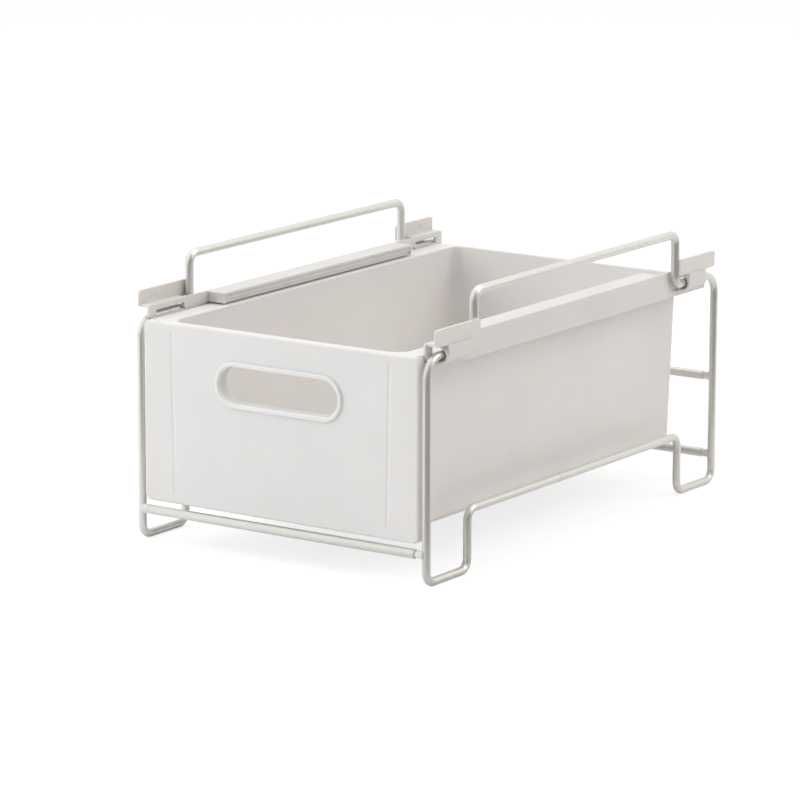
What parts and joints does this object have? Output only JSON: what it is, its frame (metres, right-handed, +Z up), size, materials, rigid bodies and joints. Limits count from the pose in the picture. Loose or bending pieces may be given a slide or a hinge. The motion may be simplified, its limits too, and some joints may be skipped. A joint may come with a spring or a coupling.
{
  "type": "under sink organizer",
  "caption": "Stackable pull-out storage drawer hung on moulded rails in a bent-wire rack, with a rounded hand hole in its front and a wire guard hoop over each side.",
  "frame": {"origin": "centre of the footprint at floor level", "axes": "+Z up, -Y towards the drawer's front, +X to the right seen from the front"},
  "size_m": [0.263, 0.4006, 0.2062],
  "materials": {
    "drawer_plastic": "fine matte white",
    "trim_plastic": "glossy white",
    "rail_plastic": "satin white",
    "plug_plastic": "satin white",
    "coated_steel": "glossy off-white powder coat"
  },
  "bodies": {
    "rack": {"left_rail": "rail_plastic", "right_rail": "rail_plastic", "left_side_frame": "coated_steel", "right_side_frame": "coated_steel", "left_guard_hoop": "coated_steel", "right_guard_hoop": "coated_steel", "front_cross_tube": "coated_steel", "rear_upper_cross_tube": "coated_steel", "rear_lower_cross_tube": "coated_steel", "front_tube_left_plug": "plug_plastic", "front_tube_right_plug": "plug_plastic", "rear_upper_tube_left_plug": "plug_plastic", "rear_upper_tube_right_plug": "plug_plastic", "rear_lower_tube_left_plug": "plug_plastic", "rear_lower_tube_right_plug": "plug_plastic"},
    "drawer": {"drawer": "drawer_plastic", "hand_hole_trim": "trim_plastic"}
  },
  "joints": [
    {"name": "drawer_slide", "type": "slide", "parent": "rack", "child": "drawer", "axis": [0, -1, 0], "range_m": [0, 0.24]}
  ]
}
